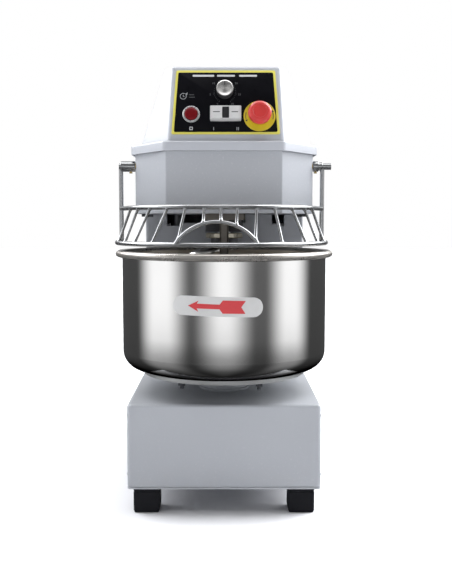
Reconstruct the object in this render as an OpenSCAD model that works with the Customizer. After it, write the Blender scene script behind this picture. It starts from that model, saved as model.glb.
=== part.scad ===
// Spiral dough mixer: a sheet-steel base, column and head, a stainless bowl on a driven turntable,
// a spiral hook beside a fixed breaker bar, a hinged wire guard and a sloping control panel.
// Frame: +X right, +Y to the rear, +Z up. The origin is on the floor, in the middle of the plan box.

/* [Body] */
// Width of the base, the column and the head
body_w = 320; // [312:2:330]
// Depth over everything, from the bowl's rim to the cable gland
overall_d = 680; // [670:5:700]
// Height of the rubber feet
foot_h = 40; // [30:1:50]
// Height of the base's top plate above the floor
base_top = 182; // [176:1:186]
// Height of the underside of the head
head_z = 495; // [492:1:500]
// Height of the head's sheet-metal ring
head_h = 105.5; // [100:0.5:112]
// Height of the hood above the head
hood_h = 148; // [138:0.5:150]
// Thickness of the sheet metal
sheet = 2; // [1.5:0.5:2.5]

/* [Bowl] */
// Outer radius of the bowl's wall
bowl_r = 181; // [176:1:184]
// Height of the underside of the bowl
bowl_z = 222; // [220:0.5:224]
// Height of the centre of the rolled rim
rim_z = 425; // [415:1:428]
// Radius of the turntable
table_r = 145; // [140:1:155]

/* [Hook] */
// Distance of the hook's axis behind the bowl's axis
hook_offset = 90; // [88:1:92]
// Radius of the hook's steel bar
hook_bar_r = 12; // [10:0.5:12]
// Radius of the spiral to the middle of its bar
hook_spiral_r = 62; // [58:1:63]
// Number of turns of the spiral
hook_turns = 1.6; // [1.25:0.05:1.75]

/* [Guard] */
// Radius of the guard's lower ring, to the middle of its rod
guard_low_r = 185; // [183:0.5:188]
// Radius of the guard's upper ring, to the middle of its rod
guard_top_r = 165; // [160:1:168]
// Height of the upper ring above the lower one
guard_h = 60; // [50:0.5:62]
// Radius of the ring rods
guard_rod_r = 4; // [3.5:0.25:4]
// Rise of the feeding arch above the lower ring
arch_rise = 36.5; // [30:0.5:40]

/* [Panel] */
// Angle at which the panel leans back
panel_lean = 15; // [13:0.5:16]
// Radius of the timer knob
knob_r = 14.7; // [12:0.1:16]
// Radius of the emergency stop's mushroom
mushroom_r = 20; // [17.5:0.5:20]

/* [Hidden] */
$fn = 96;
eps = 0.01;
fit = 0.05;
half_w = body_w / 2;
bead_r = 6;
rim_r = bowl_r + 6;
rim_out_r = rim_r + bead_r;
bowl_y = rim_out_r - overall_d / 2;
hook_y = bowl_y + hook_offset;
base_front = bowl_y - 146;
column_front = bowl_y + 205;
body_rear = overall_d / 2 - 18;
chassis_t = 3;
shell_z = foot_h + chassis_t;
column_inner_y = column_front + sheet;

// head outline
head_front = bowl_y - 65;
head_front_hw = 99;
chamfer_end = bowl_y + 23;
head_top = head_z + head_h;
floor_t = 4;
floor_top = head_z + floor_t;

// hood
hood_x = 3.5;
flange_h = 16.5;
flange_out = 7;
hood_z = head_top + flange_h;
hood_wall = 3;
hood_round = 4;
hood_front = head_front + 7;
hood_top = head_top + hood_h;
hood_low_fw = 98;
hood_low_hw = 152;
hood_top_fw = 92;
hood_top_hw = 106;

// panel controls: x across, s up the slope
panel_x = 3;
panel_t = 0.8;
knob_at = [1.5, 88.5];
stop_at = [-56, 48];
switch_at = [2.9, 48];
estop_at = [60.7, 45];

// guard and its pivot
guard_x = -4.5;
guard_z = 444.5;
guard_axis_y = bowl_y + 30;
guard_axis_z = 580.5;
guard_arm_x = 182.3;
guard_end = asin(30 / guard_low_r);
top_arc = 73.4;
collar_r = 9.5;
pin_r = 6;
pin_out = guard_low_r + guard_rod_r - guard_x;
arch_x = -6.8;
arch_half = 66.5;
arch_r = (arch_half * arch_half + arch_rise * arch_rise) / (2 * arch_rise);
arch_y = -sqrt(guard_low_r * guard_low_r - arch_half * arch_half);
arch_tilt = asin((arch_r - arch_rise) / arch_r);
rib_r = 2.3;
// side ribs: angle on the upper ring, then on the lower ring at the left and at the right
side_ribs = [[31.4, -37.2, 32.3], [44.5, -50.9, 49.3], [57.2, -61.5, 61.4], [69.5, -74.5, 73.5]];
// front ribs: angle on the upper ring, then the foot's place along the arch
front_ribs = [[0, 0], [-9.2, -28], [9.2, 24.5], [-20, -67.5], [20.2, 54.5]];

// drive: pulley radii give 2:1 from hook to lay shaft, 5:1 from lay shaft to bowl and 4.5:1 from motor
small_pulley_r = 27;
lay_top_r = 54;
bowl_pulley_r = 135;
hook_pulley_r = 135;
motor_pulley_r = 30;
pulley_h = 16;
groove_w = 10.8;
groove_d = 9;
belt_w = 10;
belt_t = 8;
low_belt_z = 72;
mid_belt_z = 517;
top_belt_z = 545;
lay_at = [-100, 115];
motor_at = [40, 215];
motor_r = 68;
motor_low = 270;
motor_high = 464;
shaft_r = 15;
lay_shaft_r = 12.5;
motor_shaft_r = 9.5;
bearing_r = 31;
bearing_h = 16;

// bowl bearing housing and turntable
housing_r = 42;
housing_top = 208;
housing_low = 120;
table_z = 213.3;
stud_pcr = 130;
stud_low = 201.5;
wall_t = 1.5;
bowl_corner = 32;

// hook
collar_low = 438;
hook_low = 246;

// ---- helpers ----

// rectangle with round corners, centred
module rrect(w, d, r) {
    square([w, d - 2 * r], center = true);
    square([w - 2 * r, d], center = true);
    for (x = [-1, 1], y = [-1, 1]) translate([x * (w / 2 - r), y * (d / 2 - r)]) circle(r);
}

// rounded rectangle between two depths
module plan_box(hw, y0, y1, r) {
    translate([0, (y0 + y1) / 2]) rrect(2 * hw, y1 - y0, r);
}

// plan of the head, grown outwards by o
module head_plan(o) {
    turn = atan2(chamfer_end - head_front, half_w - head_front_hw);
    fx = head_front_hw + o * tan(turn / 2);
    cy = chamfer_end - o * tan((90 - turn) / 2);
    polygon([[-fx, head_front - o], [fx, head_front - o], [half_w + o, cy], [half_w + o, body_rear + o],
        [-half_w - o, body_rear + o], [-half_w - o, cy]]);
}

module ring(h, ro, ri) {
    difference() {
        cylinder(h = h, r = ro);
        translate([0, 0, -1]) cylinder(h = h + 2, r = ri);
    }
}

// rod from point a to point b
module rod(a, b, r) {
    d = b - a;
    len = norm(d);
    translate(a) rotate([0, acos(d[2] / len), atan2(d[1], d[0])]) cylinder(h = len, r = r);
}

module along_x(from, to, r) {
    translate([from, 0, 0]) rotate([0, 90, 0]) cylinder(h = to - from, r = r);
}

// stand on the panel: local x across, y up the slope, z out of the panel
module on_panel(at, h = 0) {
    translate([at[0], hood_front, hood_z]) rotate([90 - panel_lean, 0, 0])
        translate([0, at[1], h]) children();
}

module at_bowl() translate([0, bowl_y, 0]) children();

module at_hook() translate([0, hook_y, 0]) children();

// closed belt around two pulleys that stand on height z
module belt(a, b, ra, rb, z) {
    slack = 0.5;
    translate([0, 0, z + (pulley_h - belt_w) / 2]) linear_extrude(belt_w) difference() {
        belt_outline(a, b, ra - slack, rb - slack);
        belt_outline(a, b, ra - slack - belt_t, rb - slack - belt_t);
    }
}

module belt_outline(a, b, ra, rb) hull() {
    translate(a) circle(ra);
    translate(b) circle(rb);
}

// grooved pulley with its hub, and round holes in the web of a large one
module pulley(r, bore) {
    g = (pulley_h - groove_w) / 2;
    difference() {
        rotate_extrude() polygon([[bore, 0], [r, 0], [r, g], [r - groove_d, g],
            [r - groove_d, pulley_h - g], [r, pulley_h - g], [r, pulley_h], [bore, pulley_h]]);
        if (r > 100) {
            translate([0, 0, -1]) ring(6, r - 22, 34);
            translate([0, 0, pulley_h - 5]) ring(6, r - 22, 34);
            for (a = [0:60:300]) rotate(a) translate([(r + 12) / 2, 0, -1])
                cylinder(h = pulley_h + 2, r = 22);
        }
    }
}

// sealed ball bearing
module bearing() difference() {
    ring(bearing_h, bearing_r - fit, shaft_r + fit);
    for (z = [-1, bearing_h - 1]) translate([0, 0, z]) ring(2, bearing_r - 4, shaft_r + 4);
}

module pan_screw(r, head_r, len) {
    translate([0, 0, -len]) cylinder(h = len + eps, r = r);
    rotate_extrude() polygon([[0, 0], [head_r, 0], [head_r, 1], [head_r - 1.2, 2.2], [0, 2.2]]);
}

// closed tube swept along points
module sweep(path, r, sides) {
    n = len(path);
    function dir(i) = let (d = path[min(i + 1, n - 1)] - path[max(i - 1, 0)]) d / norm(d);
    function side(i) = let (c = cross(dir(i), [0, 0, 1])) norm(c) < 0.05 ? [1, 0, 0] : c / norm(c);
    rings = [for (i = [0:n - 1], k = [0:sides - 1])
        let (a = 360 * k / sides, u = side(i), v = cross(dir(i), u))
        path[i] + r * (cos(a) * u + sin(a) * v)];
    faces = concat([[for (k = [0:sides - 1]) k]],
        [for (i = [0:n - 2], k = [0:sides - 1]) let (m = (k + 1) % sides)
            [i * sides + m, i * sides + k, (i + 1) * sides + k, (i + 1) * sides + m]],
        [[for (k = [sides - 1:-1:0]) (n - 1) * sides + k]]);
    polyhedron(rings, faces);
}

// ---- body ----

module base_shell() color("#a3a7b0") difference() {
    translate([0, 0, shell_z]) linear_extrude(base_top - shell_z) plan_box(half_w, base_front, body_rear, 6);
    translate([0, 0, shell_z - 1]) linear_extrude(base_top - shell_z + 1 - sheet)
        plan_box(half_w - sheet, base_front + sheet, body_rear - sheet, 4);
    at_bowl() translate([0, 0, base_top - 5]) cylinder(h = 10, r = housing_r + 0.3);
    translate([0, 0, base_top - 5]) linear_extrude(10) plan_box(140, column_front + 18, body_rear - 18, 8);
    translate([gland_x, body_rear - 5, gland_z]) rotate([-90, 0, 0]) cylinder(h = 10, r = gland_r + fit);
}

module base_plate() color("#8d929b") difference() {
    translate([0, 0, foot_h]) linear_extrude(chassis_t) plan_box(half_w, base_front, body_rear, 6);
    foot_places() translate([0, 0, foot_h - 1]) cylinder(h = 6, r = 4.2);
}

foot_w = 43;
foot_x = 107 + foot_w / 2;
foot_y = [base_front + 1 + foot_w / 2, body_rear - 6 - foot_w / 2];

module foot_places() {
    for (x = [-foot_x, foot_x], y = foot_y) translate([x, y, 0]) children();
}

module feet() color("#17181a") foot_places() difference() {
    linear_extrude(foot_h) rrect(foot_w, foot_w, 3);
    translate([0, 0, -1]) cylinder(h = 13, r = 9);
    cylinder(h = foot_h + 1, r = 4.2);
}

module foot_bolts() color("#3a3c40") foot_places() {
    translate([0, 0, 6]) cylinder(h = 6, r = 7.5, $fn = 6);
    translate([0, 0, 12]) cylinder(h = foot_h + chassis_t - 12, r = 4);
    translate([0, 0, foot_h + chassis_t]) cylinder(h = 6, r = 7.5, $fn = 6);
}

module column_shell() color("#a3a7b0") difference() {
    translate([0, 0, base_top]) linear_extrude(head_z - base_top)
        plan_box(half_w, column_front, body_rear, 4);
    translate([0, 0, base_top - 1]) linear_extrude(head_z - base_top + 2)
        plan_box(half_w - sheet, column_inner_y, body_rear - sheet, 2);
    translate([-half_w + 22, body_rear - 5, base_top + 22]) cube([body_w - 44, 10, head_z - base_top - 44]);
    column_slots();
}

// dark openings at the top of the column's front
module column_slots() {
    y = column_front - 1;
    d = sheet + 2;
    translate([-117, y, head_z - 23]) cube([26, d, 24]);
    translate([-92, y, head_z - 17]) cube([135, d, 18]);
    translate([97, y, head_z - 23]) cube([25, d, 24]);
}

cover_z0 = base_top + 8;
cover_z1 = head_z - 8;
cover_t = 1.5;

module rear_cover() color("#a3a7b0") difference() {
    translate([-half_w + 8, body_rear, cover_z0]) cube([body_w - 16, cover_t, cover_z1 - cover_z0]);
    for (x = [-105, 5], k = [0:8]) translate([x, body_rear - 1, cover_z0 + 70 + 18 * k]) cube([100, 5, 5]);
    cover_screw_places() translate([0, 0, -4]) cylinder(h = 8, r = 2.2);
}

module cover_screw_places() {
    for (x = [-half_w + 15, half_w - 15], z = [cover_z0 + 10, (cover_z0 + cover_z1) / 2, cover_z1 - 10])
        translate([x, body_rear + cover_t, z]) rotate([-90, 0, 0]) children();
}

module head_shell() color("#a3a7b0") difference() {
    translate([0, 0, head_z]) linear_extrude(head_h) difference() {
        head_plan(0);
        head_plan(-sheet);
    }
    for (x = [-half_w - 5, half_w - 5]) translate([x, guard_axis_y, guard_axis_z]) along_x(0, 10, 9 + fit);
}

module head_floor() color("#50545b") difference() {
    translate([0, 0, head_z]) linear_extrude(floor_t) head_plan(-sheet - 0.2);
    at_hook() translate([0, 0, head_z - 1]) cylinder(h = 6, r = 35.8);
    translate([lay_at[0], lay_at[1], head_z - 1]) cylinder(h = 6, r = lay_shaft_r + 2);
    translate([0, 0, head_z - 1]) linear_extrude(6) plan_box(120, 150, 300, 10);
    bar_bolt_places() translate([0, 0, head_z - 1]) cylinder(h = 6, r = 4.2);
    head_bolt_places() translate([0, 0, head_z - 1]) cylinder(h = 6, r = 4.2);
}

module head_bolt_places() {
    for (x = [-148, 148], y = [-70, 20]) translate([x, y, 0]) children();
}

// ---- hood and panel ----

function panel_y(s, h) = hood_front + s * sin(panel_lean) - h * cos(panel_lean);
function panel_z(s, h) = hood_z + s * cos(panel_lean) + h * sin(panel_lean);

module hood_block(r) {
    top_z = hood_top - hood_round;
    top_s = (top_z - hood_z + hood_round * sin(panel_lean)) / cos(panel_lean);
    low = [panel_y(0, -hood_round), panel_z(0, -hood_round)];
    top = panel_y(top_s, -hood_round);
    run = hood_low_hw - hood_low_fw;
    fall = chamfer_end - hood_front - 4;
    corners = [
        [hood_low_fw - hood_round, low[0], low[1]],
        [hood_low_hw - hood_round, low[0] + fall, low[1]],
        [hood_low_hw - hood_round, body_rear - 10 - hood_round, low[1]],
        [hood_top_fw - hood_round, top, top_z],
        [hood_top_hw - hood_round, top + fall * (hood_top_hw - hood_top_fw) / run, top_z],
        [hood_top_hw - hood_round, body_rear - 110, top_z]];
    hull() for (c = corners, m = [-1, 1]) translate([m * c[0], c[1], c[2]]) sphere(r, $fn = 28);
}

module hood() color("#b9bec6") translate([hood_x, 0, 0]) difference() {
    union() {
        difference() {
            hood_block(hood_round);
            hood_block(hood_round - hood_wall);
            translate([-300, -400, hood_z - 100 + fit]) cube([600, 900, 100]);
        }
        translate([-hood_x, 0, head_top]) linear_extrude(flange_h) difference() {
            head_plan(flange_out);
            head_plan(flange_out - hood_wall);
        }
        for (z = [head_top, hood_z - hood_wall]) translate([-hood_x, 0, z]) linear_extrude(hood_wall)
            difference() {
                head_plan(flange_out);
                head_plan(-17);
            }
    }
    translate([-hood_x, 0, 0]) {
        on_panel(stop_at, -10) cylinder(h = 20, r = 11.2);
        on_panel(estop_at, -10) cylinder(h = 20, r = 11.2);
        on_panel(switch_at, -10) cylinder(h = 20, r = 11.2);
        on_panel(knob_at, -10) cylinder(h = 20, r = 5.2);
    }
}

module hood_screw_places() {
    for (m = [-1, 1], y = [-40, 90, 220]) translate([m * (half_w + flange_out), y, head_top + flange_h / 2])
        rotate([0, m * 90, 0]) children();
}

module cover_screws() color("#c9ccd0") {
    cover_screw_places() pan_screw(2, 4, 8);
    hood_screw_places() pan_screw(2, 4, 5);
}

module control_panel() color("#141416") difference() {
    on_panel([panel_x, 0]) linear_extrude(panel_t) polygon([[-89.7, 12.5], [89.7, 12.5], [92.7, 15.5],
        [85.4, 125.5], [82.4, 128.5], [-82.4, 128.5], [-85.4, 125.5], [-92.7, 15.5]]);
    on_panel(stop_at, -1) cylinder(h = 4, r = 11.2);
    on_panel(estop_at, -1) cylinder(h = 4, r = 11.2);
    on_panel(switch_at, -1) cylinder(h = 4, r = 11.2);
    on_panel(knob_at, -1) cylinder(h = 4, r = 5.2);
}

// bezel on the panel, and its barrel with contacts behind the panel
module stop_button_bezel() color("#cfd2d6") on_panel(stop_at) difference() {
    union() {
        translate([0, 0, panel_t]) cylinder(h = 4.2, r = 14.9);
        translate([0, 0, -34]) cylinder(h = 36, r = 11);
        translate([-14, -14, -48]) cube([28, 28, 15]);
    }
    translate([0, 0, 1.8]) cylinder(h = 10, r = 11.9);
    translate([0, 0, -20]) cylinder(h = 30, r = 9 + fit);
}

module stop_button() color("#a3121c") on_panel(stop_at) {
    translate([0, 0, -14]) cylinder(h = 20, r = 9);
    rotate_extrude() polygon([[0, 4.9], [11.5, 4.9], [11.5, 6.3], [10.6, 7.2], [0, 7.6]]);
}

switch_w = 53;
switch_h = 24.4;
key_w = 19;
key_x = 15.6;
key_stem_x = 8.4;

module switch_housing() color("#c3c6ca") on_panel(switch_at) difference() {
    union() {
        translate([0, 0, panel_t]) linear_extrude(10) rrect(switch_w, switch_h, 1.5);
        translate([0, 0, -34]) cylinder(h = 36, r = 11);
        translate([-14, -14, -60]) cube([28, 28, 27]);
    }
    for (m = [-1, 1]) translate([m * key_x - key_w / 2 - 0.3, -switch_h / 2 + 1, 3.4])
        cube([key_w + 0.6, switch_h - 2, 20]);
    for (m = [-1, 1]) translate([m * key_stem_x, 0, -20]) cylinder(h = 30, r = 2 + fit);
}

module speed_key(m) {
    on_panel(switch_at) {
        translate([m * key_x - key_w / 2, -switch_h / 2 + 1.3, 7]) cube([key_w, switch_h - 2.6, 6]);
        translate([m * key_stem_x, 0, -12]) cylinder(h = 20, r = 2);
    }
}

module low_speed_button() color("#d5d8db") speed_key(-1);

module high_speed_button() color("#d5d8db") speed_key(1);

module estop_disc() color("#e3c51c") on_panel(estop_at, panel_t) ring(1.5, 27.2, 11.2);

module estop_body() color("#26272a") on_panel(estop_at) difference() {
    union() {
        translate([0, 0, panel_t + 1.5]) cylinder(h = 4.5, r = 14.3);
        translate([0, 0, -34]) cylinder(h = 38, r = 11);
        translate([-14, -14, -60]) cube([28, 28, 27]);
    }
    translate([0, 0, -20]) cylinder(h = 40, r = 8 + fit);
}

module estop_plunger() color("#3c3d41") on_panel(estop_at) {
    translate([0, 0, -12]) cylinder(h = 28, r = 8);
    translate([0, 0, 15]) cylinder(h = 6.7, r = 5);
}

module estop_mushroom() color("#d8202c") on_panel(estop_at) rotate_extrude() polygon([
    [5 + fit, 16.3], [16.4, 16.3], [16.4, 12.8], [mushroom_r - 1, 12.8], [mushroom_r, 14.3],
    [mushroom_r, 19], [mushroom_r - 1.5, 22.3], [mushroom_r - 5, 24.6], [mushroom_r - 11, 25.8],
    [0, 26.2], [0, 22], [5 + fit, 22]]);

module timer_body() color("#2c2d30") on_panel(knob_at) difference() {
    union() {
        translate([0, 0, -hood_wall - 40.6]) cylinder(h = 40, r = 24);
        translate([0, 0, -10]) cylinder(h = 12, r = 5);
    }
    translate([0, 0, -30]) cylinder(h = 40, r = 3 + fit);
}

module timer_knob() color("#c6c9cc") on_panel(knob_at) difference() {
    union() {
        translate([0, 0, -26]) cylinder(h = 32, r = 3);
        rotate_extrude() polygon([[0, 5], [knob_r, 5], [knob_r, 18.4], [knob_r - 0.9, 19.3], [0, 19.3]]);
    }
    translate([-0.6, 5, 18.5]) cube([1.2, 8, 2]);
}

// ---- under the head ----

bar_w = 16;
bar_d = 20;

module breaker_bar() color("#9c9a94") {
    translate([0, bowl_y, bowl_z + 12]) linear_extrude(head_z - 11 - bowl_z - 12 + eps) rrect(bar_w, bar_d, 3);
    difference() {
        translate([0, bowl_y, head_z - 11]) linear_extrude(11) rrect(74, 52, 3);
        bar_bolt_places() translate([0, 0, head_z - 12]) cylinder(h = 14, r = 4.2);
    }
}

module bar_bolt_places() {
    for (x = [-26, 26], y = [-15, 15]) translate([x, bowl_y + y, 0]) children();
}

// hexagon bolts that hold the breaker bar and the floor plate
module head_bolts() color("#26272a") {
    bar_bolt_places() translate([0, 0, head_z - 16]) head_bolt(20);
    head_bolt_places() translate([0, 0, head_z - 5]) head_bolt(12);
}

module head_bolt(len) {
    cylinder(h = 5, r = 7, $fn = 6);
    translate([0, 0, 5]) cylinder(h = len, r = 4);
}

module spindle_housing() color("#2a2c30") at_hook() difference() {
    union() {
        translate([0, 0, 462]) cylinder(h = 50, r = 35.5);
        translate([0, 0, floor_top]) cylinder(h = 7, r = 52);
    }
    translate([0, 0, 461]) cylinder(h = 60, r = 26);
    translate([0, 0, 465]) cylinder(h = bearing_h + 0.2, r = bearing_r);
    translate([0, 0, 495.8]) cylinder(h = 20, r = bearing_r);
}

// the two bearings of the hook's spindle and the two of the bowl's shaft
module ball_bearings() color("#b4b7bb") {
    at_hook() for (z = [465.1, 495.9]) translate([0, 0, z]) bearing();
    at_bowl() for (z = [housing_low + 0.5, housing_top - bearing_h - 0.5]) translate([0, 0, z]) bearing();
}

module spindle_shaft() color("#9da0a4") at_hook() {
    translate([0, 0, 450]) cylinder(h = 135, r = shaft_r);
}

module spindle_collar() color("#8f9296") at_hook() {
    translate([0, 0, 450]) difference() {
        cylinder(h = 10, r = 35, $fn = 6);
        translate([0, 0, -1]) cylinder(h = 20, r = shaft_r + fit);
    }
    translate([0, 0, collar_low]) cylinder(h = 450 - collar_low, r = 25.5);
}

// bar that leaves the collar, swings out to the spiral and winds down to the bowl's bottom
function hook_point(t) = let (
        lead = min(1, t / 0.16), tail = max(0, (t - 0.93) / 0.07),
        r = hook_spiral_r * sin(90 * lead) * (1 - 0.35 * tail),
        a = -360 * hook_turns * t)
    [r * sin(a), -r * cos(a), collar_low - 4
        - (collar_low - 4 - hook_low) * (t < 0.1 ? t * 0.8 : 0.08 + (t - 0.1) * 0.92 / 0.9)];

module spiral_hook() color("#a8a8a4") at_hook()
    sweep([for (i = [0:70]) hook_point(i / 70)], hook_bar_r, 14);

module spindle_pulley() color("#6f7378") at_hook() translate([0, 0, top_belt_z])
    pulley(hook_pulley_r, shaft_r + fit);

module spindle_small_pulley() color("#6f7378") at_hook() translate([0, 0, mid_belt_z])
    pulley(small_pulley_r, shaft_r + fit);

// ---- bowl ----

module bowl_profile(r, corner, low, high) {
    translate([0, low]) square([r - corner, high - low]);
    translate([0, low + corner]) square([r, high - low - corner]);
    translate([r - corner, low + corner]) circle(corner);
}

module bowl() color("#c4c5c4") at_bowl() rotate_extrude() {
    difference() {
        bowl_profile(bowl_r, bowl_corner, bowl_z, rim_z);
        bowl_profile(bowl_r - wall_t, bowl_corner - wall_t, bowl_z + wall_t, rim_z + 1);
    }
    translate([rim_r, rim_z]) difference() {
        circle(bead_r);
        circle(bead_r - wall_t);
        translate([-10, -10]) square([7, 10]);
    }
}

module turntable() color("#8e9196") at_bowl() difference() {
    rotate_extrude() polygon([[0, housing_top + 1.3], [28, housing_top + 1.3], [28, table_z],
        [table_r - 1.5, table_z], [table_r, table_z + 1.5], [table_r, bowl_z - 0.8], [table_r - 0.8, bowl_z],
        [0, bowl_z]]);
    stud_places() translate([0, 0, table_z - 1]) cylinder(h = 20, r = 3.5);
    translate([0, 0, housing_top]) cylinder(h = 10, r = shaft_r + fit);
}

module stud_places() {
    for (k = [0:5]) rotate(27 + 60 * k) translate([0, -stud_pcr, 0]) children();
}

module bowl_bolts() color("#2a2b2e") at_bowl() stud_places() {
    translate([0, 0, stud_low]) cylinder(h = bowl_z - stud_low, r = 3.4);
    translate([0, 0, table_z - 6.5]) cylinder(h = 6.5, r = 6.6, $fn = 6);
}

module bowl_shaft() color("#9da0a4") at_bowl() translate([0, 0, 62])
    cylinder(h = housing_top + 10 - 62, r = shaft_r);

module bowl_pulley() color("#6f7378") at_bowl() translate([0, 0, low_belt_z])
    pulley(bowl_pulley_r, shaft_r + fit);

module bowl_bearing_housing() color("#a9adb5") at_bowl() difference() {
    union() {
        translate([0, 0, housing_low]) cylinder(h = housing_top - housing_low, r = housing_r);
        translate([0, 0, base_top]) cylinder(h = 4, r = housing_r + 3);
    }
    translate([0, 0, housing_low - 1]) cylinder(h = 200, r = 26);
    translate([0, 0, housing_low - 1]) cylinder(h = bearing_h + 2, r = bearing_r);
    translate([0, 0, housing_top - bearing_h - 1]) cylinder(h = 30, r = bearing_r);
}

plate_x = -10.2;
plate_z = 347.2;
plate_w = 147.5;
plate_h = 31.5;
plate_t = 0.5;
plate_tilt = 1.5;

// curved strip on the bowl's front that carries the turning arrow
module arrow_plate() color("#c8cacd") at_bowl() intersection() {
    translate([0, 0, plate_z - 40]) ring(80, bowl_r + plate_t, bowl_r + eps);
    translate([plate_x, 0, plate_z]) rotate([90, plate_tilt, 0]) linear_extrude(250)
        rrect(plate_w, plate_h, plate_h / 2 - 0.5);
}

// ---- drive ----

module motor() color("#5d6a7c") translate([motor_at[0], motor_at[1], 0]) difference() {
    union() {
        translate([0, 0, motor_low]) cylinder(h = motor_high - motor_low, r = motor_r - 8);
        for (k = [0:23]) rotate(15 * k) translate([0, -1.5, motor_low + 25]) cube([motor_r, 3, 140]);
        translate([0, 0, motor_high]) cylinder(h = 6, r = motor_r + 6);
        translate([-30, -motor_r - 22, motor_low + 60]) cube([60, 30, 60]);
    }
    translate([0, 0, motor_low + 12]) cylinder(h = motor_high - motor_low - 24, r = 45);
    translate([0, 0, motor_low + 4]) cylinder(h = 300, r = motor_shaft_r + fit);
}

module motor_rotor() color("#8c8f93") translate([motor_at[0], motor_at[1], 0]) {
    translate([0, 0, motor_low + 6]) cylinder(h = 568 - motor_low - 6, r = motor_shaft_r);
    translate([0, 0, motor_low + 40]) cylinder(h = 110, r = 44.4);
}

module motor_pulley() color("#6f7378") translate([motor_at[0], motor_at[1], top_belt_z])
    pulley(motor_pulley_r, motor_shaft_r + fit);

module motor_bracket() color("#8d929b") difference() {
    union() {
        translate([-half_w + sheet, 134, motor_high + 6]) cube([body_w - 2 * sheet, body_rear - 14 - 134, 6]);
        translate([-half_w + sheet, 134, motor_high - 24]) cube([body_w - 2 * sheet, 4, 30]);
    }
    translate([motor_at[0], motor_at[1], motor_high]) cylinder(h = 20, r = motor_shaft_r + 4);
}

module motor_belt() color("#1b1c1e") belt([0, hook_y], motor_at, hook_pulley_r, motor_pulley_r, top_belt_z);

module spindle_belt() color("#1b1c1e") belt([0, hook_y], lay_at, small_pulley_r, lay_top_r, mid_belt_z);

module bowl_belt() color("#1b1c1e") belt([0, bowl_y], lay_at, bowl_pulley_r, small_pulley_r, low_belt_z);

module at_lay(z) translate([lay_at[0], lay_at[1], z]) children();

module lay_shaft() color("#9da0a4") at_lay(47) cylinder(h = 489, r = lay_shaft_r);

module lay_top_pulley() color("#6f7378") at_lay(mid_belt_z) pulley(lay_top_r, lay_shaft_r + fit);

module lay_low_pulley() color("#6f7378") at_lay(low_belt_z) pulley(small_pulley_r, lay_shaft_r + fit);

module lay_shaft_bearings() color("#7b8087") for (z = [shell_z, floor_top]) at_lay(z) difference() {
    union() {
        linear_extrude(4) rrect(62, 62, 8);
        cylinder(h = 14, r = 24);
    }
    translate([0, 0, z == shell_z ? 2 : -1]) cylinder(h = 30, r = lay_shaft_r + fit);
}

gland_x = 100;
gland_z = 110;
gland_r = 10;

module cable_gland() color("#1b1c1e")
    translate([gland_x, body_rear, gland_z]) rotate([-90, 0, 0]) difference() {
    union() {
        translate([0, 0, -14]) cylinder(h = 20, r = gland_r);
        translate([0, 0, -8]) cylinder(h = 6 - 0.05, r = 14, $fn = 6);
        cylinder(h = 6, r = 14, $fn = 6);
        translate([0, 0, 6]) rotate_extrude() polygon([[0, 0], [12, 0], [12, 6], [8.5, 12], [0, 12]]);
    }
    translate([0, 0, -20]) cylinder(h = 60, r = 5);
}

module control_box() color("#d9dadb") difference() {
    translate([-half_w + sheet, 220, 250]) cube([92, 86, 130]);
    translate([-half_w + sheet + 4, 224, 254]) cube([84, 78, 122]);
}

// ---- guard ----

module at_guard() translate([guard_x, bowl_y, guard_z]) children();

module guard_ring_arc(r, half_angle) {
    rotate(-90 - half_angle) rotate_extrude(angle = 2 * half_angle) translate([r, 0])
        circle(guard_rod_r, $fn = 32);
}

module guard_ring() color("#bfc2c5") at_guard() guard_ring_arc(guard_low_r, 90 + guard_end);

// upper rod: an arc whose straight ends run back to the arms
module guard_rail() color("#bfc2c5") at_guard() translate([0, 0, guard_h]) {
    guard_ring_arc(guard_top_r, top_arc);
    for (m = [-1, 1]) {
        from = [m * guard_top_r * sin(top_arc - 0.7), -guard_top_r * cos(top_arc - 0.7), 0];
        rod(from, [m * guard_arm_x, 30, 0], guard_rod_r - 0.1);
    }
}

// side arms with their pivot collars
module guard_arms() color("#bfc2c5") {
    at_guard() for (m = [-1, 1]) translate([m * guard_arm_x, 30, -guard_rod_r])
        cylinder(h = guard_axis_z - guard_z + collar_r + guard_rod_r - 1, r = guard_rod_r);
    translate([0, guard_axis_y, guard_axis_z]) difference() {
        union() {
            along_x(guard_x - guard_arm_x, -half_w - 0.8, collar_r);
            along_x(half_w + 0.8, half_w + 10.5, collar_r);
            along_x(half_w + 10, guard_x + guard_arm_x, 7.5);
        }
        for (x = [-half_w - 20, half_w - 1]) along_x(x, x + 21, pin_r + 0.02);
    }
}

// arch over the feeding gap, in one upright plane
module guard_arch() color("#bfc2c5") at_guard() translate([arch_x, arch_y, arch_rise - arch_r])
    rotate([90, 0, 0]) rotate(arch_tilt) rotate_extrude(angle = 180 - 2 * arch_tilt)
        translate([arch_r, 0]) circle(3.2, $fn = 32);

function low_point(a) = [guard_low_r * sin(a), -guard_low_r * cos(a), 0];
function top_point(a) = [guard_top_r * sin(a), -guard_top_r * cos(a), guard_h];
// point where a front rib meets the arch
function arch_point(x) =
    [x, arch_y, arch_rise - arch_r + sqrt(arch_r * arch_r - (x - arch_x) * (x - arch_x))];

module guard_ribs() color("#bfc2c5") at_guard() {
    for (rib = side_ribs) {
        rod(low_point(rib[1]), top_point(-rib[0]), rib_r);
        rod(low_point(rib[2]), top_point(rib[0]), rib_r);
    }
    for (rib = front_ribs) rod(arch_point(rib[1]), top_point(rib[0]), rib_r);
}

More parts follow.
